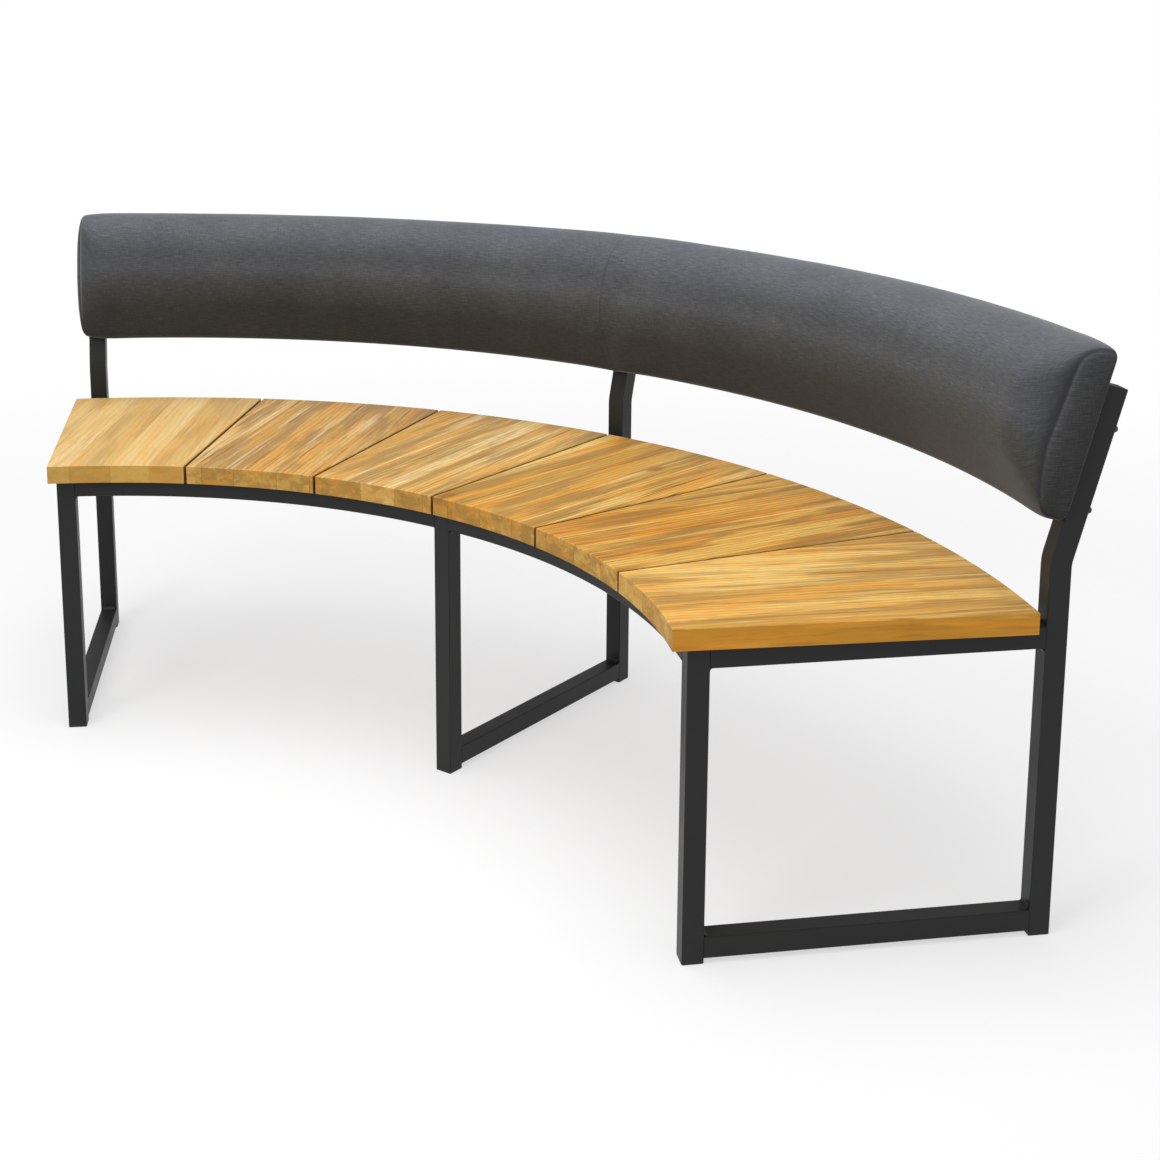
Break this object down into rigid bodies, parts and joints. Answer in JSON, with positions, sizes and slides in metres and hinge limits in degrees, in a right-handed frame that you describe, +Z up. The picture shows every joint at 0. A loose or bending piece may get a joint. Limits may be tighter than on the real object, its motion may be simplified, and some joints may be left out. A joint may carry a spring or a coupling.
{
  "type": "curved garden bench",
  "caption": "Quarter-round outdoor bench with teak wedge seat panels on loop frames of square tube and a leaning padded backrest that follows the curve.",
  "frame": {"origin": "on the ground under the middle of the bench's outer box", "axes": "+X along the bench to the right as seen from the front, +Y from the concave front towards the backrest, +Z up"},
  "size_m": [2.031, 0.8496, 0.8181],
  "materials": {
    "teak": "oiled reclaimed teak",
    "powder_coated_tube": "satin anthracite powder coat on aluminium",
    "black_plastic": "moulded black plastic",
    "outdoor_fabric": "grey melange outdoor weave over foam",
    "plywood": "bent birch plywood",
    "steel": "stainless steel"
  },
  "bodies": {
    "root": {"back_bolts": "steel", "back_pad_left": "outdoor_fabric", "back_pad_right": "outdoor_fabric", "back_post_left": "powder_coated_tube", "back_post_middle": "powder_coated_tube", "back_post_right": "powder_coated_tube", "backrest_board": "plywood", "board_nuts": "steel", "cross_rail_left": "powder_coated_tube", "cross_rail_middle": "powder_coated_tube", "cross_rail_right": "powder_coated_tube", "floor_rail_left": "powder_coated_tube", "floor_rail_middle": "powder_coated_tube", "floor_rail_right": "powder_coated_tube", "front_foot_left": "black_plastic", "front_foot_middle": "black_plastic", "front_foot_right": "black_plastic", "front_leg_left": "powder_coated_tube", "front_leg_middle": "powder_coated_tube", "front_leg_right": "powder_coated_tube", "front_rail_left": "powder_coated_tube", "front_rail_right": "powder_coated_tube", "post_cap_left": "black_plastic", "post_cap_middle": "black_plastic", "post_cap_right": "black_plastic", "rear_foot_left": "black_plastic", "rear_foot_middle": "black_plastic", "rear_foot_right": "black_plastic", "rear_rail_left": "powder_coated_tube", "rear_rail_right": "powder_coated_tube", "seat_panel_1": "teak", "seat_panel_2": "teak", "seat_panel_3": "teak", "seat_panel_4": "teak", "seat_panel_5": "teak", "seat_panel_6": "teak", "seat_screws": "steel"}
  },
  "joints": []
}
